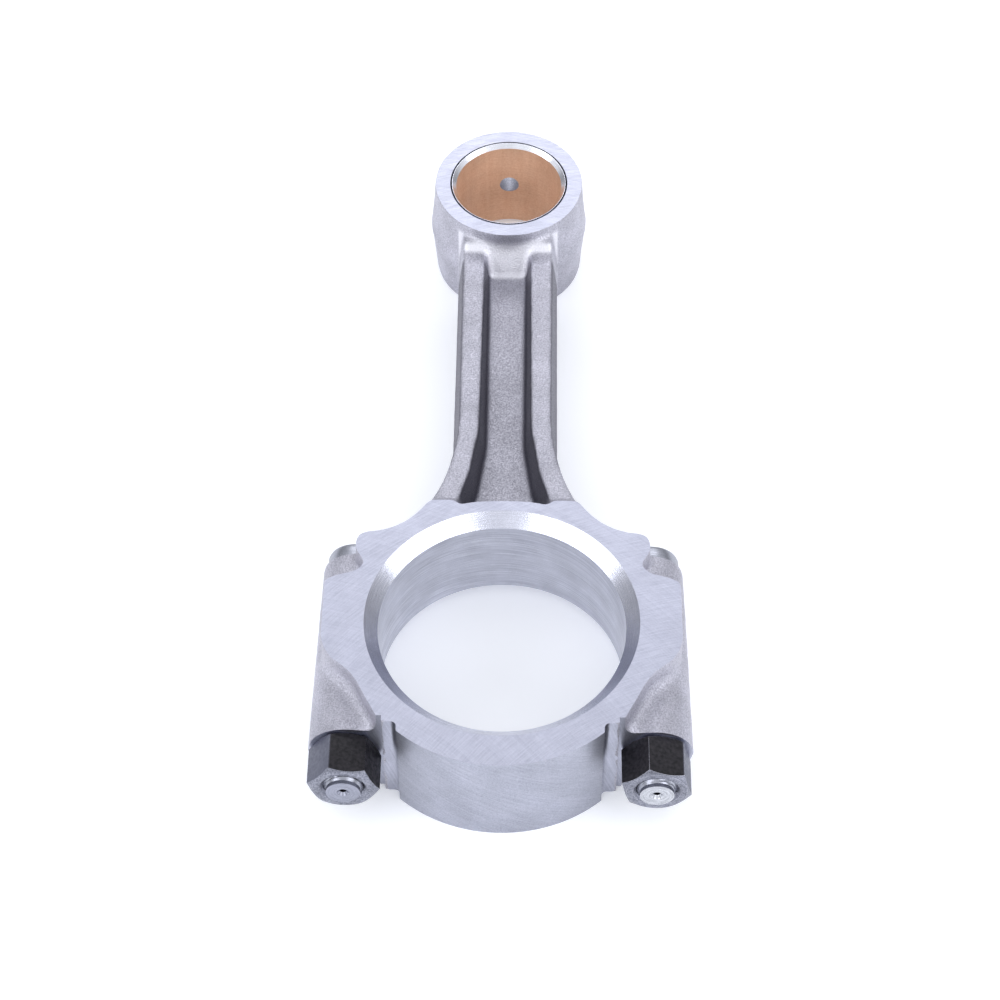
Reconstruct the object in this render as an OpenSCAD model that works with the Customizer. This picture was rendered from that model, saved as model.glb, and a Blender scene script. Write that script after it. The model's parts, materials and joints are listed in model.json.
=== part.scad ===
// Connecting rod of a small diesel engine: a drop forged rod and its bolted cap,
// a bronze lined bush pressed into the small end, two fitted bolts and their nuts.
// The origin is the centre of the big end bore, half way between its ground faces.
// +Y runs to the small end, +Z runs along both bores. Millimetres.

/* [Overall] */
// Distance between the centres of the two bores
centre_distance = 138; // [115:0.5:170]
// Width of the big end across its ground faces
big_end_width = 28; // [23:0.5:34]
// Width of the small end across its ground faces
small_end_width = 28; // [22:0.5:34]

/* [Big end] */
// Diameter of the bore that holds the crankpin shells
crank_bore_d = 56; // [46:0.5:68]
// Chamfer at both mouths of the crank bore
bore_chamfer = 3; // [1:0.25:4]
// Metal between the crank bore and the pockets of the shank
ring_wall = 6.2; // [4:0.25:8]
// Metal under the crank bore at the foot of the cap
cap_wall = 10.6; // [8:0.2:14]
// Metal between the crank bore and a bolt hole
bolt_land = 2; // [1.5:0.25:4]
// Ground pad outside a bolt's axis
pad_edge = 6; // [5:0.25:8]
// Forging metal round a bolt hole at the seat of its nut
boss_wall = 3.7; // [3:0.1:5]
// Forging metal round a bolt hole at the seat of its head
head_boss_wall = 2.8; // [2.4:0.1:4]
// Parting face to the seat of a bolt head
rod_shoulder = 23; // [19:0.5:28]
// Parting face to the seat of a nut
cap_shoulder = 26; // [23:0.5:31]
// Slot for the tang of a crankpin shell: length round the bore
tang_length = 6; // [4:0.5:8]
// Slot for the tang of a crankpin shell: width along the bore
tang_width = 5; // [3:0.5:6]
// Slot for the tang of a crankpin shell: depth into the wall
tang_depth = 1.2; // [0.8:0.1:1.6]
// Middle of a tang slot from the middle of the bore, on opposite sides in rod and cap
tang_offset = 8; // [4:0.5:9]

/* [Small end] */
// Diameter of the running bore for the piston pin
pin_bore_d = 27; // [22:0.5:32]
// Wall of the bush, its steel back and bronze lining together
bush_wall = 1.5; // [1:0.05:2]
// Chamfer at both mouths of the bush
bush_chamfer = 1; // [0.3:0.1:1.2]
// Forging metal outside the bush
eye_wall = 3.8; // [3:0.1:6]
// How much fuller the eye is at the forging's parting plane
eye_bulge = 1.2; // [0.4:0.1:1.6]
// Oil hole through the top of the eye and the bush
oil_hole_d = 5; // [3:0.5:6]
// Countersink at the oil hole's outer mouth
oil_mouth = 1; // [0.5:0.25:1.5]

/* [Shank] */
// Width of the shank at the forging's parting plane
shank_width = 25; // [22:0.5:29]
// Thickness over the flanges where the big end starts
flange_at_big = 27; // [22:0.5:32]
// Thickness over the flanges where the small end starts
flange_at_small = 18; // [15:0.5:22]
// Thickness of the web between the pockets
web = 6; // [4:0.5:9]
// Width of a pocket's floor
pocket_floor = 9.6; // [7:0.2:12]
// How much a pocket spreads on each side towards the big end
pocket_spread = 5.8; // [3:0.2:7]
// Draft of a pocket's walls, in degrees
pocket_draft = 8; // [5:0.5:11]
// Draft of the forging's outer walls, in degrees
draft = 7; // [3:0.5:9]

/* [Bolts and nuts] */
// Diameter of a bolt
bolt_d = 9; // [7:0.5:11]
// Diameter of a bolt head
bolt_head_d = 13; // [12:0.5:16]
// Thickness of a bolt head
bolt_head_h = 4; // [3.5:0.5:6]
// Nut width across its flats
nut_af = 14; // [13:0.5:17]
// Height of a nut
nut_h = 10.2; // [8:0.2:12]
// Bolt end that stands out of its nut
bolt_stand_out = 1; // [0.5:0.25:3]
// Room for a socket between a nut and the cap's foot
socket_room = 3.7; // [2.5:0.1:6]
// Turn of the left nut and of the right nut about their bolts, in degrees
nut_turns = [8, 16]; // [0:1:60]

/* [Fits] */
// Clearance all round a bolt in the rod, in the cap and in its nut
bolt_fit = 0.03; // [0.02:0.01:0.1]
// Gap between a bolt head's flat and the shoulder that stops it turning
head_flat_fit = 0.1; // [0.05:0.05:0.3]
// Room that a nut's seat is spot faced outside its corners
nut_seat_fit = 0.4; // [0.2:0.1:0.8]

/* [Hidden] */

$fn = 96;
eps = 0.5;                     // how far a cutter runs past a face
slice = 0.5;                   // thickness of a cross section that a hull joins
reach = 400;                   // longer than anything that it cuts or bounds

crank_r = crank_bore_d / 2;
half_big = big_end_width / 2;
half_small = small_end_width / 2;
half_shank = shank_width / 2;
pin_r = pin_bore_d / 2;
bush_r = pin_r + bush_wall;
eye_r = bush_r + eye_wall;
ring_r = crank_r + ring_wall;

bolt_r = bolt_d / 2;
bolt_x = crank_r + bolt_land + bolt_r;
boss_r = bolt_r + boss_wall;
head_boss_r = bolt_r + head_boss_wall;
parting_boss_r = (boss_r + head_boss_r) / 2;
pad_x = bolt_x + pad_edge;
seat_cut_r = bolt_head_d / 2 + 1.2;

// The ear is the pad's corner that stands beside each bolt head.
ear_rise = 1.6;
ear_x = bolt_x - 0.7;
ear_y = rod_shoulder + ear_rise;
ear_round = 2.5;

// The shank flares out to the ears along one Bezier curve.
flare_length = 37;
flare_steps = 18;
flare_start_y = ear_y + flare_length;

// The foot of the cap stands between the two nuts.
nut_corner_r = nut_af / sqrt(3);
foot_x = bolt_x - nut_corner_r - socket_room;
foot_y = crank_r + cap_wall;
foot_drop = 4.6;                // the foot's arc is centred this far below the crank bore
foot_r = foot_y - foot_drop;
notch_y = cap_shoulder + 1.5;

eye_front_y = centre_distance - eye_r;
flange_start_y = ring_r;
flange_end_y = eye_front_y - 1.6;
shank_end_y = eye_front_y + 7;
pocket_end_y = eye_front_y - 4.4;
ramp_end_y = eye_front_y + 2;
ramp_rise = half_big - web / 2 - 0.1;
shoulder_y = eye_front_y + 0.4; // the flanges' shoulders against the eye reach full height here
shoulder_rise = 2.2;            // how far the shoulders rise
spread_start_y = ring_r - 5;
spread_end_y = flare_start_y - 4;
spread_knee_y = (spread_start_y + spread_end_y) / 2;
knee_spread = pocket_spread / 3;

head_r = bolt_head_d / 2;
head_chamfer = 1;
head_flat_x = bolt_x - bolt_r - 0.6;
thread_end_y = cap_shoulder + nut_h + bolt_stand_out;
nut_bevel = 0.8;
nut_face_r = nut_af / 2 - 0.3;
nut_mouth_r = bolt_r + 0.8;
point_chamfer = 0.7;
centre_drill_r = 1.4;

steel = [0.74, 0.74, 0.79];
bright_steel = [0.82, 0.82, 0.86];
black_steel = [0.17, 0.16, 0.19];
bronze = [0.75, 0.56, 0.40];

function bezier(a, b, c, d, t) =
    pow(1 - t, 3) * a + 3 * t * pow(1 - t, 2) * b + 3 * t * t * (1 - t) * c + pow(t, 3) * d;

// Right half of the shank's outline, from the ear up to the straight part.
function flare_points() =
    let (top_half = half_shank - flange_half(flare_start_y) * tan(draft),
         a = [ear_x - ear_round, ear_y], b = [half_shank + 7, ear_y + 0.4],
         c = [top_half + 1, ear_y + 13.4], d = [top_half, flare_start_y])
    [for (i = [0 : flare_steps]) bezier(a, b, c, d, i / flare_steps)];

function mirrored(points) = [for (i = [len(points) - 1 : -1 : 0]) [-points[i][0], points[i][1]]];

function rod_half_outline() = concat(
    [[pad_x, 0], [pad_x, ear_y - 14], [bolt_x + 3.5, ear_y - 12.6],
     [bolt_x - 1, ear_y - 11.3], [bolt_x - 3, ear_y - 9],
     [ear_x, ear_y - 5], [ear_x, ear_y - ear_round],
     [ear_x - 0.3 * ear_round, ear_y - 0.3 * ear_round]],
    flare_points());

function cap_half_outline() = [
    [bolt_x - 8, -notch_y], [bolt_x - 4.3, -cap_shoulder + 5.5],
    [bolt_x - 2.6, -cap_shoulder + 9], [bolt_x - 1, -cap_shoulder + 11.5],
    [bolt_x + 3.5, -cap_shoulder + 15.3], [pad_x - 0.8, -cap_shoulder + 18],
    [pad_x, -cap_shoulder + 21], [pad_x, 0]];

module along_y() {
    rotate([-90, 0, 0]) children();
}

module both_sides() {
    children();
    mirror([1, 0, 0]) children();
}

module both_faces() {
    children();
    mirror([0, 0, 1]) children();
}

// A profile drawn in Y and Z, pulled out along X.
module across(points, width) {
    rotate([90, 0, 90]) linear_extrude(width, center = true) polygon(points);
}

// Keeps the forging's pads inside walls that lean in from the parting plane.
module drafted_pads() {
    lean = half_big * tan(draft);
    rotate([90, 0, 0]) linear_extrude(reach, center = true)
        polygon([[-pad_x - lean, 0], [-pad_x, -half_big], [pad_x, -half_big],
                 [pad_x + lean, 0], [pad_x, half_big], [-pad_x, half_big]]);
}

// Forging round one bolt hole, from the parting face to a seat.
module bolt_boss(length, seat_r) {
    inner_x = crank_r - 3;
    translate([bolt_x, 0, 0]) along_y() cylinder(r1 = parting_boss_r, r2 = seat_r, h = length);
    across_block = [[0, -parting_boss_r], [length, -seat_r], [length, seat_r], [0, parting_boss_r]];
    translate([(inner_x + bolt_x) / 2, 0, 0]) across(across_block, bolt_x - inner_x);
}

module bolt_holes() {
    both_sides() translate([bolt_x, -reach / 2, 0]) along_y()
        cylinder(r = bolt_r + bolt_fit, h = reach);
}

// The crank bore with its chamfered mouths, cut through rod and cap alike.
module crank_bore() {
    cylinder(r = crank_r, h = big_end_width + 2 * eps, center = true);
    both_faces() translate([0, 0, half_big - bore_chamfer])
        cylinder(r1 = crank_r, r2 = crank_r + bore_chamfer + eps, h = bore_chamfer + eps);
}

// A short slot beside the parting face, as a disc cutter leaves it.
module tang_slot(z) {
    cutter_r = tang_length;
    translate([crank_r + tang_depth - cutter_r, 0, z])
        cylinder(r = cutter_r, h = tang_width, center = true);
}

// Half thickness over the flanges at a place along the shank.
function flange_half(y) = let (t = (y - flange_start_y) / (flange_end_y - flange_start_y))
    (flange_at_big + t * (flange_at_small - flange_at_big)) / 2;

// Side view of the rod: big end, flanges that fall towards the small end, and shoulders at the eye.
module rod_side_view() {
    start_half = flange_half(flange_start_y);
    end_half = flange_half(flange_end_y);
    shoulder_half = end_half + shoulder_rise;
    across([[-eps, -half_big], [flange_start_y - 1, -half_big], [flange_start_y, -start_half],
            [flange_end_y, -end_half], [shoulder_y, -shoulder_half], [shank_end_y, -shoulder_half],
            [shank_end_y, shoulder_half], [shoulder_y, shoulder_half], [flange_end_y, end_half],
            [flange_start_y, start_half], [flange_start_y - 1, half_big], [-eps, half_big]],
           reach);
}

// The big end's upper half and the flare, as wide as the ground faces.
module rod_shoulders() {
    right = rod_half_outline();
    intersection() {
        linear_extrude(big_end_width, center = true) polygon(concat(right, mirrored(right)));
        drafted_pads();
        rod_side_view();
    }
}

// The straight part of the shank: a bar whose sides lean in from the parting plane.
module shank_bar() {
    lean = half_big * tan(draft);
    intersection() {
        translate([0, shank_end_y, 0]) rotate([90, 0, 0]) linear_extrude(shank_end_y - flange_start_y)
            polygon([[-half_shank, 0], [-half_shank + lean, -half_big], [half_shank - lean, -half_big],
                     [half_shank, 0], [half_shank - lean, half_big], [-half_shank + lean, half_big]]);
        rod_side_view();
    }
}

// The small end's ring, a little fuller at the parting plane.
module eye() {
    translate([0, centre_distance, 0]) rotate_extrude()
        polygon([[0, -half_small], [eye_r, -half_small], [eye_r + eye_bulge, 0],
                 [eye_r, half_small], [0, half_small]]);
}

// Cross section of a pocket, wider as it leaves the web.
module pocket_section(spread) {
    wall = tan(pocket_draft);
    top = half_big + eps;
    half = pocket_floor / 2 + spread;
    polygon([[-half, web / 2], [half, web / 2],
             [half + wall * (top - web / 2), top], [-half - wall * (top - web / 2), top]]);
}

module pocket_slice(y, spread) {
    translate([0, y, 0]) rotate([90, 0, 0]) linear_extrude(slice) pocket_section(spread);
}

// One pocket of the I section. It stops at the big end's ring and runs out up a ramp.
module pocket() {
    difference() {
        union() {
            hull() {
                pocket_slice(spread_start_y, pocket_spread);
                pocket_slice(spread_knee_y, knee_spread);
            }
            hull() {
                pocket_slice(spread_knee_y, knee_spread);
                pocket_slice(spread_end_y, 0);
            }
        }
        cylinder(r = ring_r, h = reach, center = true);
    }
    intersection() {
        translate([0, ramp_end_y, 0]) rotate([90, 0, 0])
            linear_extrude(ramp_end_y - spread_end_y + slice) pocket_section(0);
        across([[spread_end_y - 1, web / 2], [pocket_end_y, web / 2],
                [ramp_end_y, web / 2 + ramp_rise], [ramp_end_y, half_big + eps],
                [spread_end_y - 1, half_big + eps]], reach);
    }
}

// Room for a D shaped bolt head beside the ear: a seat, and a wall that its flat bears on.
module head_seat() {
    wall_x = head_flat_x - head_flat_fit;
    intersection() {
        translate([bolt_x, rod_shoulder, 0]) along_y() cylinder(r = seat_cut_r, h = ear_rise + 6);
        translate([wall_x, 0, -reach / 2]) cube(reach);
    }
}

module rod() {
    color(steel) difference() {
        union() {
            difference() {
                union() {
                    rod_shoulders();
                    shank_bar();
                }
                both_faces() pocket();
            }
            both_sides() bolt_boss(rod_shoulder, head_boss_r);
            eye();
        }
        crank_bore();
        tang_slot(-tang_offset);
        bolt_holes();
        both_sides() head_seat();
        translate([-reach / 2, -reach, -reach / 2]) cube(reach);
        translate([0, centre_distance, 0]) {
            cylinder(r = bush_r, h = small_end_width + 2 * eps, center = true);
            oil_way(eye_r + 2);
        }
    }
}

// Oil hole from the pin bore out through the top of the eye, with a flared mouth.
module oil_way(length) {
    along_y() {
        cylinder(d = oil_hole_d, h = length, $fn = 48);
        translate([0, 0, eye_r + eye_bulge - oil_mouth])
            cylinder(d1 = oil_hole_d, d2 = oil_hole_d + 4 * oil_mouth, h = 2 * oil_mouth, $fn = 48);
    }
}

// Room for a nut to turn on its seat.
module nut_seat() {
    mirror([0, 1, 0]) translate([bolt_x, cap_shoulder, 0]) along_y()
        cylinder(r = nut_corner_r + nut_seat_fit, h = nut_h);
}

// The cap: a full width foot under the bore and a forged shoulder under each nut.
module cap() {
    right = cap_half_outline();
    color(steel) difference() {
        union() {
            intersection() {
                linear_extrude(big_end_width, center = true) polygon(concat(right, mirrored(right)));
                drafted_pads();
            }
            intersection() {
                translate([0, -foot_drop, 0]) cylinder(r = foot_r, h = big_end_width, center = true);
                translate([-foot_x, -reach, -half_big]) cube([2 * foot_x, reach, big_end_width]);
            }
            both_sides() mirror([0, 1, 0]) bolt_boss(cap_shoulder, boss_r);
        }
        crank_bore();
        tang_slot(tang_offset);
        bolt_holes();
        both_sides() nut_seat();
        translate([-reach / 2, 0, -reach / 2]) cube(reach);
    }
}

// A steel backed bush with a bronze lining, pressed in and reamed. It has one oil hole.
module small_end_bush() {
    color(bronze) translate([0, centre_distance, 0]) difference() {
        rotate_extrude()
            polygon([[pin_r, -half_small + bush_chamfer], [pin_r + bush_chamfer, -half_small],
                     [bush_r, -half_small], [bush_r, half_small],
                     [pin_r + bush_chamfer, half_small], [pin_r, half_small - bush_chamfer]]);
        along_y() cylinder(d = oil_hole_d, h = bush_r + 2, $fn = 48);
    }
}

// A fitted bolt along Y: D shaped head, plain shank and a chamfered, centre drilled point.
module bolt() {
    color(bright_steel) difference() {
        union() {
            translate([0, rod_shoulder, 0]) along_y() intersection() {
                rotate_extrude()
                    polygon([[0, 0], [head_r, 0], [head_r, bolt_head_h - head_chamfer],
                             [head_r - head_chamfer, bolt_head_h], [0, bolt_head_h]]);
                translate([head_flat_x - bolt_x, -reach / 2, 0]) cube([reach, reach, bolt_head_h]);
            }
            translate([0, -thread_end_y, 0]) along_y() rotate_extrude()
                polygon([[0, 0], [bolt_r - point_chamfer, 0], [bolt_r, point_chamfer],
                         [bolt_r, thread_end_y + rod_shoulder + 1], [0, thread_end_y + rod_shoulder + 1]]);
        }
        translate([0, -thread_end_y - 0.01, 0]) along_y()
            cylinder(r1 = centre_drill_r, r2 = 0, h = centre_drill_r + 0.01, $fn = 48);
    }
}

// A hexagon nut along Y, bevelled at both ends, with a countersunk outer mouth.
module nut(turn) {
    bevel_run = nut_corner_r - nut_face_r;
    outer_r = nut_corner_r + bevel_run;
    bevel_profile = [[0, 0], [nut_face_r, 0], [outer_r, 2 * nut_bevel],
                     [outer_r, nut_h - 2 * nut_bevel], [nut_face_r, nut_h], [0, nut_h]];
    color(black_steel) translate([0, -cap_shoulder - nut_h, 0]) along_y() rotate([0, 0, turn]) difference() {
        intersection() {
            cylinder(r = nut_corner_r, h = nut_h, $fn = 6);
            rotate([0, 0, 30]) rotate_extrude() polygon(bevel_profile);
        }
        translate([0, 0, -eps]) cylinder(r = bolt_r + bolt_fit, h = nut_h + 2 * eps);
        translate([0, 0, -0.01])
            cylinder(r1 = nut_mouth_r, r2 = bolt_r + bolt_fit, h = nut_mouth_r - bolt_r - bolt_fit);
    }
}

module bolt_left() {
    mirror([1, 0, 0]) bolt_right();
}

module bolt_right() {
    translate([bolt_x, 0, 0]) bolt();
}

module nut_left() {
    translate([-bolt_x, 0, 0]) nut(nut_turns[0]);
}

module nut_right() {
    translate([bolt_x, 0, 0]) nut(nut_turns[1]);
}

rod();
cap();
small_end_bush();
bolt_left();
bolt_right();
nut_left();
nut_right();
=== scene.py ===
# The connecting rod of a small diesel engine, put together as a fitter would: the forged rod,
# its cap, the small end's bush, and the two bolts with their nuts. Metres, in the frame of the
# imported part: the origin is the centre of the big end bore, +Y runs to the small end and +Z
# along the bores.
import json
import math
import bpy
from mathutils import Matrix, Vector


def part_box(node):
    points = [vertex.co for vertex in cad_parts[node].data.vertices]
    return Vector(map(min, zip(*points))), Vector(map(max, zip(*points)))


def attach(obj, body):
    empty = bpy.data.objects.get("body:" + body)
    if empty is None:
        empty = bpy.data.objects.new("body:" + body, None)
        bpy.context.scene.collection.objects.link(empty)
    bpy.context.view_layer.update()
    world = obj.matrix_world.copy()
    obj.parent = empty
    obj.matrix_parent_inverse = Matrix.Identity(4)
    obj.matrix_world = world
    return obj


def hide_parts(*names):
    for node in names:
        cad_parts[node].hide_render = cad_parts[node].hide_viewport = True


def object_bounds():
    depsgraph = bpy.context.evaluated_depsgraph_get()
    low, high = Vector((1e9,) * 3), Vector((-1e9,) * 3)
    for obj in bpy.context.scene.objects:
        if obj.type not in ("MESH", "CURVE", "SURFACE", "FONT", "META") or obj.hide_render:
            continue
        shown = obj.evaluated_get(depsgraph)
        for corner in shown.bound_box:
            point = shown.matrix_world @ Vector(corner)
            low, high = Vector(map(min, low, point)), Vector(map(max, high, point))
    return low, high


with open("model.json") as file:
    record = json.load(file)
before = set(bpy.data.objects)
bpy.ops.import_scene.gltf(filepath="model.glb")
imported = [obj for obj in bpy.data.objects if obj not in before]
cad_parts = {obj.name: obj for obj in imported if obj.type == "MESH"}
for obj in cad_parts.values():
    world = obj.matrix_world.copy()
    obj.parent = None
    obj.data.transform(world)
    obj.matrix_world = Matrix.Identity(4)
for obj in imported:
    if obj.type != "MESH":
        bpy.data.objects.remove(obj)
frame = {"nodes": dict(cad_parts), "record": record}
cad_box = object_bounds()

MM = 0.001

# Studio: the rod lies on a white table inside a bright tent, seen from the cap's end by a long
# lens 0.6 m away. The tent is darker low down. Soft boxes stand left and right of the camera
# and behind the small end, and the table glows a little from below.
CAMERA_PLACE = Vector((0.005578, -0.338792, 0.486317))
CAMERA_PITCH = math.radians(51.71)
CAMERA_YAW = -0.0173
CAMERA_ROLL = -0.0051
LENS = 93.28
TENT_LOW = 0.34
TENT_HIGH = 1.0


def studio_camera():
    """A long lens looking down along +Y, turned and rolled by less than one degree."""
    forward = Vector((math.sin(CAMERA_YAW) * math.cos(CAMERA_PITCH),
                      math.cos(CAMERA_YAW) * math.cos(CAMERA_PITCH),
                      -math.sin(CAMERA_PITCH)))
    level = Vector((math.cos(CAMERA_YAW), -math.sin(CAMERA_YAW), 0))
    lift = level.cross(forward)
    right = level * math.cos(CAMERA_ROLL) + lift * math.sin(CAMERA_ROLL)
    up = right.cross(forward)
    bpy.ops.object.camera_add()
    camera = bpy.context.object
    axes = Matrix((right, up, -forward)).transposed().to_4x4()
    camera.matrix_world = Matrix.Translation(CAMERA_PLACE) @ axes
    camera.data.lens = LENS
    camera.data.sensor_width = 36
    camera.data.clip_start = 0.01
    bpy.context.scene.camera = camera


def soft_light(name, place, size, brightness, colour):
    """A square soft box at a place, turned to face the middle of the rod."""
    bpy.ops.object.light_add(type="AREA", location=place)
    lamp = bpy.context.object
    lamp.name = name
    lamp.data.shape = "RECTANGLE"
    lamp.data.size = size[0]
    lamp.data.size_y = size[1]
    lamp.data.energy = brightness * math.pi * size[0] * size[1]
    lamp.data.color = colour
    aim = Vector((0, 0.03, 0)) - Vector(place)
    lamp.rotation_euler = aim.to_track_quat("-Z", "Y").to_euler()


def node(tree, kind, sockets, **settings):
    """Adds a shader node, sets or links its sockets, and returns its outputs."""
    made = tree.nodes.new("ShaderNode" + kind)
    for name, setting in settings.items():
        setattr(made, name, setting)
    for socket, value in sockets.items():
        if isinstance(value, bpy.types.NodeSocket):
            tree.links.new(value, made.inputs[socket])
        else:
            made.inputs[socket].default_value = value
    return made.outputs


bpy.context.scene.view_settings.view_transform = "Standard"
studio_camera()
soft_light("left_soft_box", (-0.72, -0.47, 0.5), (1.25, 0.36), 2.7, (0.93, 0.95, 1.0))
soft_light("right_soft_box", (0.72, -0.47, 0.5), (1.25, 0.36), 2.7, (0.93, 0.95, 1.0))
soft_light("back_soft_box", (0, 0.85, 0.66), (0.8, 0.24), 2.3, (0.95, 0.96, 1.0))

tent = bpy.data.worlds.new("studio tent")
bpy.context.scene.world = tent
tent.use_nodes = True
sky_way = node(tent.node_tree, "TexCoord", {})["Generated"]
sky_height = node(tent.node_tree, "SeparateXYZ", {0: sky_way})["Z"]
sky_light = node(tent.node_tree, "MapRange",
                 {0: sky_height, 1: 0.1, 2: 0.45, 3: TENT_LOW, 4: TENT_HIGH},
                 interpolation_type="SMOOTHSTEP")[0]
tent_air = tent.node_tree.nodes["Background"]
tent_air.inputs["Color"].default_value = (0.93, 0.95, 1.0, 1)
tent.node_tree.links.new(sky_light, tent_air.inputs["Strength"])

bpy.ops.mesh.primitive_plane_add(size=6, location=(0, 0, cad_box[0][2]))
table = bpy.context.object
table.name = "table"
table_paint = bpy.data.materials.new("white table")
table_paint.use_nodes = True
table_shader = table_paint.node_tree.nodes["Principled BSDF"]
table_shader.inputs["Base Color"].default_value = (0.95, 0.955, 0.97, 1)
table_shader.inputs["Roughness"].default_value = 0.8
table_shader.inputs["Emission Color"].default_value = (0.93, 0.96, 1.0, 1)
table_shader.inputs["Emission Strength"].default_value = 0.2
table.data.materials.append(table_paint)

# Rod: a drop forging in medium carbon steel, blasted to a fine grey grain. Its faces are ground,
# the bores are bored and honed through, and the seats of the bolt heads are cut beside the ears.
rod_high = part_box("rod")[1]
bush_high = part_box("small_end_bush")[1]
bolt_low, bolt_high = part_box("bolt_right")
big_mount = frame["record"]["mounts"][0]
small_mount = frame["record"]["mounts"][1]
CRANK_R = big_mount["dims"]["r_mm"] * MM
SMALL_Y = small_mount["pos_m"][1]
HALF = rod_high.z                   # half the width over the ground faces
CHAMFER = HALF - big_mount["dims"]["length_mm"] * MM / 2
BUSH_R = bush_high.x
ALLOWANCE = 0.8 * MM                # metal that grinding takes off a forging's faces
CLEAR = 4 * MM                      # how far a tool runs past a face
HAIR = 0.001 * MM
LAP = 0.3 * MM                      # how far a plug's metal reaches past the hole that it fills
VOXEL = 0.5 * MM                    # fineness of a forging's skin
SIDE_REACH = 60 * MM                # wider than half the big end
PARTING_CUT = 40 * MM               # depth of the block that cuts a parting face
HIGH_REACH = 30 * MM                # thicker than half the forging
BOLT_R = 4.5 * MM
BOLT_GAP = 0.03 * MM
HEAD_R = 6.5 * MM
HEAD_H = 4 * MM
BOLT_X = bolt_high.x - HEAD_R
HEAD_SEAT_Y = bolt_high.y - HEAD_H
HEAD_BOSS_R = 7.3 * MM
HEAD_SEAT_R = 7.7 * MM
HEAD_WALL_X = bolt_low.x if bolt_low.x < BOLT_X - BOLT_R else BOLT_X - BOLT_R
OIL_R = 2.5 * MM
TANG_R = 6 * MM
TANG_DEPTH = 1.2 * MM
TANG_HALF = 2.5 * MM
TANG_Z = 8 * MM


def only(piece):
    """Selects one object and makes it active."""
    bpy.ops.object.select_all(action="DESELECT")
    piece.select_set(True)
    bpy.context.view_layer.objects.active = piece


def merged_copy(cad_node, name):
    """A loose copy of a CAD node's mesh, with its triangles joined up."""
    piece = bpy.data.objects.new(name, frame["nodes"][cad_node].data.copy())
    bpy.context.scene.collection.objects.link(piece)
    piece.data.materials.clear()
    only(piece)
    bpy.ops.object.mode_set(mode="EDIT")
    bpy.ops.mesh.select_all(action="SELECT")
    bpy.ops.mesh.remove_doubles(threshold=0.002 * MM)
    bpy.ops.mesh.normals_make_consistent(inside=False)
    bpy.ops.object.mode_set(mode="OBJECT")
    return piece


def pick(piece, test, kind="VERT"):
    """Selects the points or edges of a piece that pass a test, and leaves it in edit mode."""
    only(piece)
    bpy.ops.object.mode_set(mode="EDIT")
    bpy.ops.mesh.select_mode(type=kind)
    bpy.ops.mesh.select_all(action="DESELECT")
    bpy.ops.object.mode_set(mode="OBJECT")
    points = piece.data.vertices
    if kind == "VERT":
        for point in points:
            point.select = test(point.co)
    else:
        for edge in piece.data.edges:
            edge.select = test(points[edge.vertices[0]].co, points[edge.vertices[1]].co)
    bpy.ops.object.mode_set(mode="EDIT")


def move_where(piece, test, shift):
    """Moves the points that pass a test."""
    pick(piece, test)
    bpy.ops.transform.translate(value=shift)
    bpy.ops.object.mode_set(mode="OBJECT")


def round_bar(radius, low, high, axis="Z", top_radius=None, sides=128, turn=0):
    """A bar or cone between two points that share an axis, turned about itself."""
    low, high = Vector(low), Vector(high)
    bpy.ops.object.select_all(action="DESELECT")
    bpy.ops.mesh.primitive_cone_add(vertices=sides, radius1=radius, depth=(high - low).length,
                                    radius2=radius if top_radius is None else top_radius)
    bar = bpy.context.object
    lean = Matrix.Rotation(-math.pi / 2, 4, "X") if axis == "Y" else Matrix.Identity(4)
    bar.matrix_world = Matrix.Translation((low + high) / 2) @ lean @ Matrix.Rotation(turn, 4, "Z")
    bpy.ops.object.transform_apply(location=True, rotation=True, scale=True)
    return bar


def block(low, high):
    """A block between two corners."""
    low, high = Vector(low), Vector(high)
    bpy.ops.object.select_all(action="DESELECT")
    bpy.ops.mesh.primitive_cube_add(size=1, location=(low + high) / 2, scale=high - low)
    bpy.ops.object.transform_apply(location=True, rotation=True, scale=True)
    return bpy.context.object


def saw_off(piece, place, way):
    """Cuts away what lies past a plane, on the side that its normal points to."""
    only(piece)
    bpy.ops.object.mode_set(mode="EDIT")
    bpy.ops.mesh.select_all(action="SELECT")
    bpy.ops.mesh.bisect(plane_co=place, plane_no=way, use_fill=True, clear_outer=True)
    bpy.ops.object.mode_set(mode="OBJECT")


def weld_on(piece, *extras):
    """Adds metal to a blank; forging it as one skin comes after."""
    bpy.ops.object.select_all(action="DESELECT")
    for extra in extras:
        extra.select_set(True)
    piece.select_set(True)
    bpy.context.view_layer.objects.active = piece
    bpy.ops.object.join()


def apply(piece, kind, **values):
    """Adds one modifier with its values and applies it."""
    only(piece)
    step = piece.modifiers.new(kind, kind)
    for name, value in values.items():
        setattr(step, name, value)
    bpy.ops.object.modifier_apply(modifier=step.name)


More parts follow.
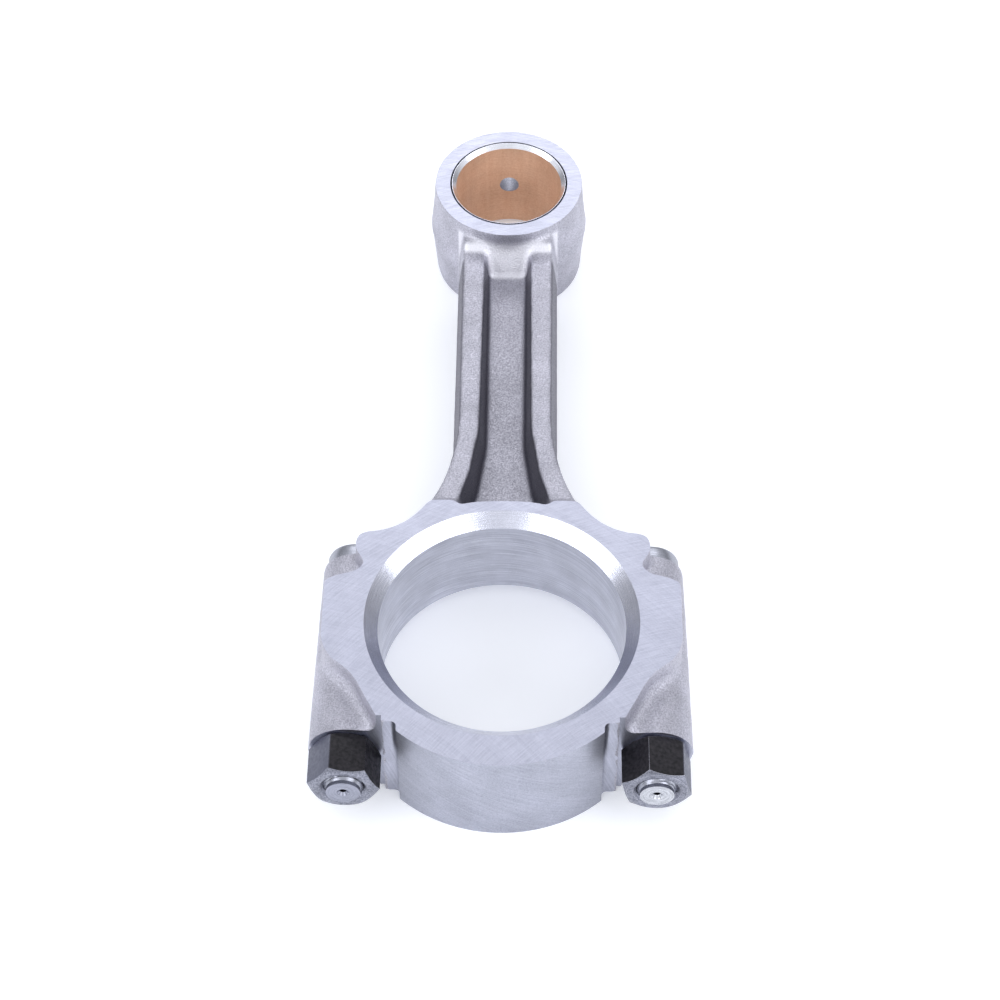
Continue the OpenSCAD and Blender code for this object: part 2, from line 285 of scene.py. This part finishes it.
def forge(piece, voxel, fillet, rounding):
    """Turns a sharp blank into one skin, with fillets, soft edges, a die's waviness and a faint
    line where the flash was trimmed off."""
    apply(piece, "REMESH", mode="VOXEL", voxel_size=voxel)
    apply(piece, "SMOOTH", factor=0.5, iterations=3)
    apply(piece, "DISPLACE", strength=fillet, mid_level=0)
    apply(piece, "REMESH", mode="VOXEL", voxel_size=voxel)
    apply(piece, "SMOOTH", factor=0.5, iterations=2)
    apply(piece, "DISPLACE", strength=-fillet, mid_level=0)
    apply(piece, "REMESH", mode="VOXEL", voxel_size=voxel)
    apply(piece, "SMOOTH", factor=0.5, iterations=rounding)
    waves = bpy.data.textures.new("die waves", "CLOUDS")
    waves.noise_scale = 5 * MM
    waves.noise_depth = 2
    apply(piece, "DISPLACE", texture=waves, texture_coords="LOCAL", strength=0.14 * MM, mid_level=0.5)
    flash_half = 0.9 * MM
    for point in piece.data.vertices:
        if abs(point.co.z) < flash_half and abs(point.normal.z) < 0.5:
            point.co += point.normal * 0.16 * MM * (1 - (point.co.z / flash_half) ** 2)


def machine(piece, cutter, finish, operation="DIFFERENCE"):
    """Cuts one tool's shape out of a piece. The cut faces take the finish that the tool leaves."""
    cutter.data.materials.clear()
    cutter.data.materials.append(finish)
    apply(piece, "BOOLEAN", operation=operation, solver="MANIFOLD", object=cutter,
          material_mode="TRANSFER")
    bpy.data.objects.remove(cutter)


def crisp(piece, angle):
    """Smooth shading on the skin, with hard edges where one finish meets another."""
    only(piece)
    bpy.ops.object.shade_smooth_by_angle(angle=math.radians(angle))
    for slot in range(1, len(piece.material_slots)):
        piece.active_material_index = slot
        bpy.ops.object.mode_set(mode="EDIT")
        bpy.ops.mesh.select_mode(type="FACE")
        bpy.ops.mesh.select_all(action="DESELECT")
        bpy.ops.object.material_slot_select()
        bpy.ops.mesh.region_to_loop()
        bpy.ops.mesh.mark_sharp()
        bpy.ops.object.mode_set(mode="OBJECT")


def fit(piece, cad_node):
    """Puts a finished piece in the place of its CAD node."""
    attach(piece, "root")
    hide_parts(cad_node)


def new_group(name, inputs, outputs):
    """An empty node group with float or vector inputs and float outputs."""
    tree = bpy.data.node_groups.new(name, "ShaderNodeTree")
    for label, kind in inputs.items():
        tree.interface.new_socket(label, in_out="INPUT", socket_type="NodeSocket" + kind)
    for label in outputs:
        tree.interface.new_socket(label, in_out="OUTPUT", socket_type="NodeSocketFloat")
    return tree, tree.nodes.new("NodeGroupInput").outputs, tree.nodes.new("NodeGroupOutput").inputs


def noise(tree, place, scale, detail):
    """One noise value, stretched so that most of it lies between 0 and 1."""
    value = node(tree, "TexNoise", {"Vector": place, "Scale": scale, "Detail": detail})[0]
    return node(tree, "MapRange", {0: value, 1: 0.32, 2: 0.68})[0]


# Blasted grain: fine speckle of a given size, and slow mottling 25 times as large.
blasted_grain, grain_in, grain_out = new_group(
    "blasted grain", {"Place": "Vector", "Size": "Float"}, ["Speckle", "Mottle"])
fine_scale = node(blasted_grain, "Math", {0: 1, 1: grain_in["Size"]}, operation="DIVIDE")[0]
slow_scale = node(blasted_grain, "Math", {0: fine_scale, 1: 25}, operation="DIVIDE")[0]
blasted_grain.links.new(noise(blasted_grain, grain_in["Place"], fine_scale, 2), grain_out["Speckle"])
blasted_grain.links.new(noise(blasted_grain, grain_in["Place"], slow_scale, 3), grain_out["Mottle"])

# Tool marks: lines that stand one pitch apart across the feed, and fade in and out along a run.
tool_marks, marks_in, marks_out = new_group(
    "tool marks", {"Across": "Float", "Place": "Vector", "Pitch": "Float", "Run": "Float"}, ["Marks"])
line_count = node(tool_marks, "Math", {0: marks_in["Across"], 1: marks_in["Pitch"]}, operation="DIVIDE")[0]
along_run = node(tool_marks, "VectorMath", {0: marks_in["Place"], 1: marks_in["Run"]}, operation="DIVIDE")[0]
run_axes = node(tool_marks, "SeparateXYZ", {0: along_run})
run_sum = node(tool_marks, "Math", {0: run_axes["X"], 1: run_axes["Y"]}, operation="ADD")[0]
line_place = node(tool_marks, "CombineXYZ", {"X": line_count, "Y": run_sum, "Z": run_axes["Z"]})[0]
tool_marks.links.new(noise(tool_marks, line_place, 1, 2), marks_out["Marks"])


def along(way):
    """Distance along one direction, for marks that run square to it."""
    def across(tree, place):
        return node(tree, "VectorMath", {0: place, 1: way}, operation="DOT_PRODUCT")["Value"]
    return across


def round_axis(centre, flat):
    """Distance from an axis, for marks round it. The flat vector drops the axis's own direction."""
    def across(tree, place):
        level = node(tree, "VectorMath", {0: place, 1: flat}, operation="MULTIPLY")[0]
        return node(tree, "VectorMath", {0: level, 1: centre}, operation="DISTANCE")["Value"]
    return across


def metal(name, dark, light, rough, grain, relief, marks=(), mottling=0.15, metallic=1.0):
    """A metal finish between two tones. Each mark gives its distance, pitch, run and share."""
    finish = bpy.data.materials.new(name)
    finish.use_nodes = True
    tree = finish.node_tree
    place = node(tree, "TexCoord", {})["Object"]
    skin = node(tree, "Group", {"Place": place, "Size": grain}, node_tree=blasted_grain)
    pattern = skin["Speckle"]
    for across, pitch, run, share in marks:
        lines = node(tree, "Group", {"Across": across(tree, place), "Place": place,
                                     "Pitch": pitch, "Run": run}, node_tree=tool_marks)["Marks"]
        pattern = node(tree, "Mix", {0: share, 2: pattern, 3: lines}, data_type="FLOAT")[0]
    tone = node(tree, "Mix", {0: pattern, 6: (*dark, 1), 7: (*light, 1)}, data_type="RGBA")[2]
    tone = node(tree, "Mix", {0: mottling, 6: tone, 7: skin["Mottle"]},
                data_type="RGBA", blend_type="MULTIPLY")[2]
    polish = node(tree, "MapRange", {0: pattern, 3: rough[1], 4: rough[0]})[0]
    bump = node(tree, "Bump", {"Height": pattern, "Distance": relief})["Normal"]
    shader = tree.nodes["Principled BSDF"]
    shader.inputs["Metallic"].default_value = metallic
    tree.links.new(tone, shader.inputs["Base Color"])
    tree.links.new(polish, shader.inputs["Roughness"])
    tree.links.new(bump, shader.inputs["Normal"])
    return finish


FLAT_Z = (1, 1, 0)                  # for marks round an axis along Z
RING_R = CRANK_R + 6.2 * MM         # the pockets stop at this ring round the crank bore
EYE_FRONT_Y = SMALL_Y - BUSH_R - 3.8 * MM


def forging(name):
    """A blasted forging: fine grey grain over slow mottling."""
    return metal(name, (0.42, 0.415, 0.47), (0.62, 0.61, 0.68), (0.42, 0.6), 0.36 * MM, 0.05 * MM,
                 mottling=0.2)


def between(tree, value, start, end):
    """A mask that rises from 0 to 1 as a value goes from start to end."""
    if start < end:
        return node(tree, "MapRange", {0: value, 1: start, 2: end})[0]
    return node(tree, "MapRange", {0: value, 1: end, 2: start, 3: 1, 4: 0})[0]


def all_of(tree, *masks):
    """The product of several masks."""
    both = masks[0]
    for mask in masks[1:]:
        both = node(tree, "Math", {0: both, 1: mask}, operation="MULTIPLY")[0]
    return both


def toned(finish, mask, tone):
    """Lays one plain tone over a finish where a mask says so."""
    tree = finish.node_tree
    shader = tree.nodes["Principled BSDF"]
    under = shader.inputs["Base Color"].links[0].from_socket
    over = node(tree, "Mix", {0: mask, 6: under, 7: (*tone, 1)}, data_type="RGBA")[2]
    tree.links.new(over, shader.inputs["Base Color"])


def rod_forging():
    """The rod's skin, with painted shade on the steep pocket walls and on the web floor in the pockets, and
    a painted highlight on the slope where the flanges run out into the eye.
    """
    finish = forging("blasted rod forging")
    tree = finish.node_tree
    place = node(tree, "SeparateXYZ", {0: node(tree, "TexCoord", {})["Object"]})
    way = node(tree, "SeparateXYZ", {0: node(tree, "TexCoord", {})["Normal"]})
    off_middle = node(tree, "Math", {0: place["X"]}, operation="ABSOLUTE")[0]
    height = node(tree, "Math", {0: place["Z"]}, operation="ABSOLUTE")[0]
    sideways = node(tree, "Math", {0: way["X"]}, operation="ABSOLUTE")[0]
    inside = between(tree, off_middle, 12.9 * MM, 12.4 * MM)
    # Painted shade on the pocket walls, where the narrow pockets fall into shadow.
    painted_wall_shade = all_of(tree, inside, between(tree, sideways, 0.4, 0.85),
                   between(tree, place["Y"], RING_R, RING_R + 2 * MM),
                   between(tree, place["Y"], EYE_FRONT_Y - 3 * MM, EYE_FRONT_Y - 5 * MM))
    # Painted shade on the web, the floor of the pockets, which lies in the pockets' shadow.
    painted_floor_shade = all_of(tree, inside, between(tree, height, 3.6 * MM, 3.2 * MM))
    # Painted highlight on the slope where the flanges rise into the eye, which faces the front light.
    painted_run_out_highlight = all_of(tree, inside, between(tree, way["Y"], -0.25, -0.6),
                     between(tree, place["Y"], EYE_FRONT_Y - 7 * MM, EYE_FRONT_Y - 5 * MM),
                     between(tree, height, 12 * MM, 10.5 * MM))
    # The tones below are painted light: shade on the web floor and the pocket walls, a highlight on the
    # run-out.
    toned(finish, node(tree, "Math", {0: painted_floor_shade, 1: 0.3}, operation="MULTIPLY")[0], (0.3, 0.295, 0.33))
    toned(finish, node(tree, "Math", {0: painted_wall_shade, 1: 0.85}, operation="MULTIPLY")[0], (0.1, 0.095, 0.12))
    toned(finish, node(tree, "Math", {0: painted_run_out_highlight, 1: 0.6}, operation="MULTIPLY")[0], (0.97, 0.96, 1.0))
    return finish


cap_skin = forging("blasted cap forging")
ground_face = metal("ground face", (0.44, 0.45, 0.54), (0.6, 0.61, 0.71), (0.34, 0.5), 0.3 * MM,
                    0.008 * MM, mottling=0.08, marks=[
                        (round_axis((-0.06, -0.09, 0), FLAT_Z), 0.35 * MM, 9 * MM, 0.5),
                        (round_axis((0.06, -0.09, 0), FLAT_Z), 0.3 * MM, 7 * MM, 0.5)])
honed_bore = metal("honed bore", (0.46, 0.47, 0.54), (0.68, 0.69, 0.76), (0.26, 0.42), 0.25 * MM,
                   0.012 * MM, marks=[(along((0.04, 0, 1)), 0.22 * MM, 12 * MM, 0.8)])
turned_chamfer = metal("turned chamfer", (0.6, 0.61, 0.7), (0.82, 0.83, 0.92), (0.16, 0.28), 0.25 * MM,
                       0.01 * MM, marks=[(round_axis((0, 0, 0), FLAT_Z), 0.16 * MM, 6 * MM, 0.5)])
milled_seat = metal("milled seat", (0.42, 0.43, 0.51), (0.58, 0.59, 0.68), (0.3, 0.42), 0.3 * MM,
                    0.01 * MM, marks=[(along((1, 0, 0.3)), 0.3 * MM, 8 * MM, 0.6)])


def bore_out(piece, radius, chamfer, y, wall, mouth):
    """Bores a piece along Z between its faces and chamfers both mouths."""
    reach = HALF + CLEAR
    machine(piece, round_bar(radius, (0, y, -reach), (0, y, reach), sides=192), wall)
    for side in (1, -1):
        radii = [radius - HAIR, radius + chamfer + CLEAR][::side]
        ends = [(0, y, side * (HALF - chamfer)), (0, y, side * reach)][::side]
        machine(piece, round_bar(radii[0], *ends, top_radius=radii[1], sides=192), mouth)


def bolt_bar(radius, side, low_y, high_y, **shape):
    """A bar on the axis of the bolt on one side."""
    return round_bar(radius, (side * BOLT_X, low_y, 0), (side * BOLT_X, high_y, 0), "Y", **shape)


def cut_tang_slot(piece, z):
    """The slot that a disc cutter leaves beside the parting face, for a shell's tang."""
    x = CRANK_R + TANG_DEPTH - TANG_R
    machine(piece, round_bar(TANG_R, (x, 0, z - TANG_HALF), (x, 0, z + TANG_HALF)), milled_seat)


def grind_faces(piece):
    """Grinds both side faces to the finished width."""
    for side in (1, -1):
        low, high = sorted((side * HALF, side * (HALF + CLEAR)))
        machine(piece, block((-SIDE_REACH, -SIDE_REACH, low), (SIDE_REACH, SMALL_Y + HIGH_REACH, high)),
                ground_face)


rod = merged_copy("rod", "rod_forging")
for side in (1, -1):
    move_where(rod, lambda p: side * p.z > HALF - 0.01 * MM, (0, 0, side * ALLOWANCE))
move_where(rod, lambda p: p.y < 0.01 * MM, (0, -ALLOWANCE, 0))
plug_half = HALF + ALLOWANCE - 0.1 * MM
weld_on(rod,
        round_bar(CRANK_R + CHAMFER + LAP, (0, 0, -plug_half), (0, 0, plug_half)),
        round_bar(BUSH_R + LAP, (0, SMALL_Y, -plug_half), (0, SMALL_Y, plug_half)),
        round_bar(OIL_R + 1 * MM, (0, SMALL_Y + BUSH_R - 1 * MM, 0), (0, rod_high.y - 0.4 * MM, 0), "Y"),
        *[bolt_bar(BOLT_R + 0.5 * MM, side, -ALLOWANCE, HEAD_SEAT_Y) for side in (1, -1)],
        *[bolt_bar(HEAD_BOSS_R, side, HEAD_SEAT_Y - 2 * MM, HEAD_SEAT_Y + 1 * MM) for side in (1, -1)])
rod.data.materials.clear()
rod.data.materials.append(rod_forging())
forge(rod, voxel=VOXEL, fillet=0.5 * MM, rounding=4)

machine(rod, block((-SIDE_REACH, -PARTING_CUT, -HIGH_REACH), (SIDE_REACH, 0, HIGH_REACH)), milled_seat)
grind_faces(rod)
bore_out(rod, CRANK_R, CHAMFER, 0, honed_bore, turned_chamfer)
bore_out(rod, BUSH_R, 0.05 * MM, SMALL_Y, honed_bore, honed_bore)
cut_tang_slot(rod, -TANG_Z)
for side in (1, -1):
    machine(rod, bolt_bar(BOLT_R + BOLT_GAP, side, -CLEAR, HEAD_SEAT_Y + CLEAR), honed_bore)
    seat_tool = bolt_bar(HEAD_SEAT_R, side, HEAD_SEAT_Y, HEAD_SEAT_Y + 8 * MM)
    saw_off(seat_tool, (side * (HEAD_WALL_X - 0.1 * MM), 0, 0), (-side, 0, 0))
    machine(rod, seat_tool, milled_seat)
drilled_hole = metal("drilled oil hole", (0.45, 0.46, 0.52), (0.62, 0.63, 0.7), (0.5, 0.7), 0.3 * MM,
                     0.02 * MM)
machine(rod, round_bar(OIL_R, (0, SMALL_Y, 0), (0, rod_high.y + CLEAR, 0), "Y"), drilled_hole)
machine(rod, round_bar(OIL_R - HAIR, (0, rod_high.y - 1 * MM, 0), (0, rod_high.y + 1 * MM, 0), "Y",
                       top_radius=OIL_R + 2 * MM), milled_seat)
crisp(rod, 35)
fit(rod, "rod")

# Cap: the lower half of the big end, a forging like the rod. It is bored together with the rod,
# the nuts' seats are spot faced, and the foot between them is turned smooth.
cap_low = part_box("cap")[0]
nut_low, nut_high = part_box("nut_right")
NUT_SEAT_Y = nut_high.y
NUT_BOSS_R = 8.2 * MM
NUT_SPOT_R = 8.48 * MM
FOOT_DROP = 4.6 * MM                # the foot's arc is centred this far below the bore
FOOT_R = -cap_low.y - FOOT_DROP
FOOT_HALF = 22.7 * MM
FOOT_TOP_Y = -29 * MM               # the turned face runs from here down
TOOL_LOW = 50 * MM                  # further down than the foot
NOTCH_LOW = 45 * MM                 # the notch tools run this far down
NOTCH_Y = NUT_SEAT_Y - 1.5 * MM
NOTCH_ROUND = 1.3 * MM
NOTCH_END_X = BOLT_X - 7.4 * MM     # the notch tool ends inside the nut's spot face

cap = merged_copy("cap", "cap_forging")
for side in (1, -1):
    move_where(cap, lambda p: side * p.z > HALF - 0.01 * MM, (0, 0, side * ALLOWANCE))
move_where(cap, lambda p: p.y > -0.01 * MM, (0, ALLOWANCE, 0))
foot_stock = round_bar(FOOT_R + 1.1 * MM, (0, -FOOT_DROP, -plug_half), (0, -FOOT_DROP, plug_half))
for side in (1, -1):
    saw_off(foot_stock, (side * FOOT_HALF, 0, 0), (side, 0, 0))
saw_off(foot_stock, (0, -FOOT_DROP, 0), (0, 1, 0))
weld_on(cap, foot_stock,
        round_bar(CRANK_R + CHAMFER + LAP, (0, 0, -plug_half), (0, 0, plug_half)),
        *[bolt_bar(BOLT_R + 0.5 * MM, side, NUT_SEAT_Y, ALLOWANCE) for side in (1, -1)],
        *[bolt_bar(NUT_BOSS_R, side, NUT_SEAT_Y - 1.2 * MM, NUT_SEAT_Y + 2 * MM) for side in (1, -1)])
cap.data.materials.clear()
cap.data.materials.append(cap_skin)
forge(cap, voxel=VOXEL, fillet=1.8 * MM, rounding=5)

foot_face = metal("turned foot", (0.37, 0.38, 0.45), (0.52, 0.53, 0.6), (0.36, 0.5), 0.35 * MM,
                  0.012 * MM, marks=[(along((0.6, 0.3, 1)), 0.4 * MM, 10 * MM, 0.4)])
machine(cap, block((-SIDE_REACH, 0, -HIGH_REACH), (SIDE_REACH, PARTING_CUT, HIGH_REACH)), milled_seat)
grind_faces(cap)
foot_side = FOOT_HALF + 0.7 * MM
foot_tool = block((-foot_side, -TOOL_LOW, -HIGH_REACH), (foot_side, FOOT_TOP_Y, HIGH_REACH))
foot_core = round_bar(FOOT_R, (0, -FOOT_DROP, -PARTING_CUT), (0, -FOOT_DROP, PARTING_CUT), sides=256)
machine(foot_tool, foot_core, foot_face)
machine(cap, foot_tool, foot_face)
bore_out(cap, CRANK_R, CHAMFER, 0, honed_bore, turned_chamfer)
cut_tang_slot(cap, TANG_Z)


def from_notch(point):
    """How far a point is from the notch's inner corner, beside the foot."""
    return abs(abs(point.x) - FOOT_HALF) + abs(point.y - NOTCH_Y)


for side in (1, -1):
    notch_ends = sorted((side * FOOT_HALF, side * NOTCH_END_X))
    notch_tool = block((notch_ends[0], -NOTCH_LOW, -HIGH_REACH), (notch_ends[1], NOTCH_Y, HIGH_REACH))
    pick(notch_tool, lambda a, b: max(from_notch(a), from_notch(b)) < MM, "EDGE")
    bpy.ops.mesh.bevel(offset=NOTCH_ROUND, segments=6, affect="EDGES")
    bpy.ops.object.mode_set(mode="OBJECT")
    machine(cap, notch_tool, milled_seat)
    seat_ends = sorted((side * (BOLT_X - NUT_SPOT_R), side * BOLT_X))
    seat_tool = block((seat_ends[0], -NOTCH_LOW, -HIGH_REACH), (seat_ends[1], NUT_SEAT_Y, HIGH_REACH))
    machine(cap, seat_tool, milled_seat)
    machine(cap, bolt_bar(BOLT_R + BOLT_GAP, side, NUT_SEAT_Y - CLEAR, CLEAR), honed_bore)
    machine(cap, bolt_bar(NUT_SPOT_R, side, NUT_SEAT_Y - 12 * MM, NUT_SEAT_Y), milled_seat)
crisp(cap, 35)
fit(cap, "cap")

# Small end bush: a steel backed strip with a bronze lining, rolled round, pressed into the eye and
# reamed. Its steel ends are faced bright, and a hole lets oil through to the pin.
PIN_R = small_mount["dims"]["r_mm"] * MM
MOUTH = HALF - small_mount["dims"]["length_mm"] * MM / 2
bush_back = metal("bush back", (0.6, 0.61, 0.68), (0.82, 0.83, 0.9), (0.2, 0.32), 0.2 * MM, 0.006 * MM,
                  marks=[(round_axis((0, SMALL_Y, 0), FLAT_Z), 0.15 * MM, 6 * MM, 0.6)])
bush_mouth = metal("faced bush mouth", (0.8, 0.81, 0.86), (0.95, 0.95, 1.0), (0.12, 0.22), 0.2 * MM,
                   0.004 * MM, marks=[(round_axis((0, SMALL_Y, 0), FLAT_Z), 0.15 * MM, 6 * MM, 0.6)])
bronze_lining = metal("bronze lining", (0.72, 0.465, 0.31), (0.9, 0.665, 0.5), (0.34, 0.5), 0.5 * MM,
                      0.01 * MM, mottling=0.15, metallic=0.5, marks=[
                          (along((1, 0, 0)), 1.1 * MM, 14 * MM, 0.35),
                          (along((0, 0.1, 1)), 0.2 * MM, 8 * MM, 0.3)])
# Painted shade: a near black finish that stands in for the shadow in the gap round the bush's mouths and in
# the bottom of the bolts' centre drillings.
painted_shade_corner = metal("painted shade corner", (0.03, 0.03, 0.045), (0.09, 0.09, 0.12), (0.4, 0.6), 0.3 * MM, 0.01 * MM)
bush = round_bar(BUSH_R, (0, SMALL_Y, -HALF), (0, SMALL_Y, HALF), sides=192)
bush.name = "bush"
bush.data.materials.append(bush_back)
bush.data.materials.append(painted_shade_corner)
pick(bush, lambda a, b: abs(a.z - b.z) < 0.01 * MM, "EDGE")
# The bevel round the bush's ends takes the painted shade, for the shadow line in the gap between bush and
# eye.
bpy.ops.mesh.bevel(offset=0.42 * MM, segments=1, affect="EDGES", material=1)
bpy.ops.object.mode_set(mode="OBJECT")
bore_out(bush, PIN_R, MOUTH, SMALL_Y, bronze_lining, bush_mouth)
machine(bush, round_bar(OIL_R, (0, SMALL_Y, 0), (0, rod_high.y, 0), "Y", sides=64), drilled_hole)
crisp(bush, 30)
fit(bush, "small_end_bush")

# Bolts: M9 with a fine thread, rolled and ground alloy steel. The D shaped head bears on a wall
# of its seat, the plain shank locates the cap, and the end is a centre drilled spigot.
PITCH = 1.0 * MM
THREAD_DEPTH = 0.55 * MM
THREAD_TOP_Y = NUT_SEAT_Y + 4 * MM
BOLT_END_Y = bolt_low.y
POINT = 0.7 * MM                    # the point is this much smaller in radius
POINT_LENGTH = 0.9 * MM             # the plain spigot at the end, and the shoulder behind it
DRILL_R = 1.4 * MM
PILOT_R = 0.75 * MM                 # the small hole at the bottom of the centre drilling
bolt_steel = metal("ground bolt steel", (0.26, 0.27, 0.31), (0.48, 0.49, 0.55), (0.24, 0.38), 0.25 * MM,
                   0.006 * MM, marks=[(along((0, 1, 0)), 0.12 * MM, 5 * MM, 0.6)])
FLAT_Y = (1, 0, 1)                  # for marks round an axis along Y


def bolt_end_steel(side, dark, light):
    """The faced end of a bolt, with fine rings round its own axis."""
    rings = round_axis((side * BOLT_X, 0, 0), FLAT_Y)
    return metal(f"faced bolt end {side}", dark, light, (0.24, 0.4), 0.3 * MM,
                 0.01 * MM, marks=[(rings, 0.22 * MM, 3 * MM, 0.6)])


def cut_thread(bar):
    """Cuts a V thread round a ringed bar and turns its point down to a short plain spigot."""
    for point in bar.data.vertices:
        dx, dz = point.co.x - BOLT_X, point.co.z
        radius = math.hypot(dx, dz)
        if radius < BOLT_R / 2:
            continue
        turn = math.atan2(dz, dx) / (2 * math.pi)
        phase = ((point.co.y - BOLT_END_Y) / PITCH + turn) % 1.0
        groove = THREAD_DEPTH * max(0.0, 1 - abs(phase - 0.5) / 0.42)
        runout = min(1.0, max(0.0, (THREAD_TOP_Y - 0.3 * MM - point.co.y) / PITCH))
        depth = groove * runout
        rise = min(1.0, max(0.0, (point.co.y - BOLT_END_Y) / POINT_LENGTH - 1))
        point_r = BOLT_R - POINT * (1 - rise)
        scale = min(BOLT_R - depth, point_r) / radius
        point.co.x = BOLT_X + dx * scale
        point.co.z = dz * scale


bolt = bolt_bar(BOLT_R, 1, BOLT_END_Y, THREAD_TOP_Y, sides=64)
pick(bolt, lambda a, b: abs(a.y - b.y) > 1 * MM, "EDGE")
bpy.ops.mesh.subdivide(number_cuts=100)
bpy.ops.object.mode_set(mode="OBJECT")
cut_thread(bolt)
bolt.data.materials.append(bolt_steel)
shank = bolt_bar(BOLT_R, 1, THREAD_TOP_Y - 0.2 * MM, HEAD_SEAT_Y + 0.2 * MM, sides=96)
machine(bolt, shank, bolt_steel, "UNION")
head = bolt_bar(HEAD_R, 1, HEAD_SEAT_Y, bolt_high.y, sides=96)
saw_off(head, (HEAD_WALL_X, 0, 0), (-1, 0, 0))
pick(head, lambda a, b: min(a.y, b.y) > bolt_high.y - 0.01 * MM, "EDGE")
bpy.ops.mesh.bevel(offset=1 * MM, segments=2, affect="EDGES")
bpy.ops.object.mode_set(mode="OBJECT")
machine(bolt, head, bolt_steel, "UNION")
left_bolt = bolt.copy()
left_bolt.data = bolt.data.copy()
bpy.context.scene.collection.objects.link(left_bolt)
left_bolt.matrix_world = Matrix.Rotation(math.pi, 4, "Y")
only(left_bolt)
bpy.ops.object.transform_apply(location=True, rotation=True, scale=True)
for side, piece, name, end_dark, end_light in (
        (1, bolt, "bolt_right", (0.3, 0.31, 0.34), (0.8, 0.81, 0.85)),
        (-1, left_bolt, "bolt_left", (0.26, 0.27, 0.33), (0.44, 0.45, 0.53))):
    piece.name = name + "_turned"
    end_steel = bolt_end_steel(side, end_dark, end_light)
    machine(piece, bolt_bar(BOLT_R, side, BOLT_END_Y - 1 * MM, BOLT_END_Y + 0.02 * MM, sides=64), end_steel)
    machine(piece, bolt_bar(DRILL_R + 1 * MM, side, BOLT_END_Y - 1 * MM, BOLT_END_Y + DRILL_R,
                            top_radius=HAIR, sides=64), end_steel)
    # The pilot hole takes the near black painted shade, for the shade inside the small hole.
    machine(piece, bolt_bar(PILOT_R, side, BOLT_END_Y - 1 * MM, BOLT_END_Y + 3 * MM, sides=32), painted_shade_corner)
    crisp(piece, 30)
    fit(piece, name)

# Nuts: tall hexagons, 14 mm across flats, in blackened alloy steel. Both ends are turned to a
# bevel, the outer mouth is countersunk, and the black is rubbed off on the outer side and edges.
NUT_CORNER_R = 14 * MM / math.sqrt(3)
NUT_FACE_R = 6.7 * MM
NUT_BEVEL = 0.8 * MM
NUT_MOUTH_R = BOLT_R + 0.8 * MM
NUT_TURNS = {-1: math.radians(8), 1: math.radians(16)}
RUBBED_X = {-1: 37.4 * MM, 1: 40.2 * MM}
bare_end = metal("faced nut end", (0.2, 0.205, 0.25), (0.42, 0.43, 0.5), (0.28, 0.44), 0.35 * MM,
                 0.012 * MM, mottling=0.3)
worn_edge = metal("worn nut edge", (0.34, 0.34, 0.39), (0.62, 0.62, 0.69), (0.3, 0.4), 0.4 * MM, 0.01 * MM)


def nut_black(side):
    """Black oxide, rubbed to grey steel on the flat that looks outwards."""
    finish = metal(f"black oxide {side}", (0.004, 0.0035, 0.006), (0.022, 0.019, 0.024), (0.4, 0.6),
                   0.8 * MM, 0.02 * MM, mottling=0.5, metallic=0.0)
    tree = finish.node_tree
    shader = tree.nodes["Principled BSDF"]
    place = node(tree, "TexCoord", {})["Object"]
    out = along((side, 0, 0))(tree, place)
    edge = RUBBED_X[side]
    shader.inputs["Specular IOR Level"].default_value = 0.3
    rubbed = between(tree, out, edge - 0.2 * MM, edge + 0.2 * MM)
    toned(finish, rubbed, (0.15, 0.155, 0.195))
    tree.links.new(rubbed, shader.inputs["Metallic"])
    return finish


def turned_blank(side):
    """The round shape that a lathe leaves: a bar with a bevel at both ends."""
    bar = bolt_bar(NUT_FACE_R, side, nut_low.y, nut_high.y, sides=96)
    pick(bar, lambda a, b: abs(a.y - b.y) > 1 * MM, "EDGE")
    bpy.ops.mesh.subdivide(number_cuts=2)
    bpy.ops.object.mode_set(mode="OBJECT")
    run = NUT_CORNER_R - NUT_FACE_R
    widen = (NUT_CORNER_R + run) / NUT_FACE_R
    middle = (nut_low.y + nut_high.y) / 2
    for point in bar.data.vertices:
        if nut_low.y + 1 * MM < point.co.y < nut_high.y - 1 * MM:
            reach = (nut_high.y - nut_low.y) / 2 - 2 * NUT_BEVEL
            point.co.y = middle + math.copysign(reach, point.co.y - middle)
            point.co.x = side * BOLT_X + (point.co.x - side * BOLT_X) * widen
            point.co.z *= widen
    return bar


for side, name in ((1, "nut_right"), (-1, "nut_left")):
    nut = bolt_bar(NUT_CORNER_R, side, nut_low.y - 1 * MM, nut_high.y + 1 * MM, sides=6,
                   turn=NUT_TURNS[side] - math.pi / 6)
    nut.name = name + "_black"
    nut.data.materials.append(nut_black(side))
    machine(nut, turned_blank(side), bare_end, "INTERSECT")
    hole = bolt_bar(BOLT_R + BOLT_GAP, side, nut_low.y - 1 * MM, nut_high.y + 1 * MM, sides=96)
    machine(nut, hole, bare_end)
    machine(nut, bolt_bar(NUT_MOUTH_R + 1 * MM, side, nut_low.y - 1 * MM, nut_low.y + 0.8 * MM,
                          top_radius=BOLT_R - HAIR, sides=96), bare_end)
    nut.data.materials.append(worn_edge)
    apply(nut, "BEVEL", width=0.22 * MM, segments=2, limit_method="ANGLE", angle_limit=math.radians(24),
          material=len(nut.data.materials) - 1)
    only(nut)
    bpy.ops.object.shade_smooth_by_angle(angle=math.radians(30))
    fit(nut, name)
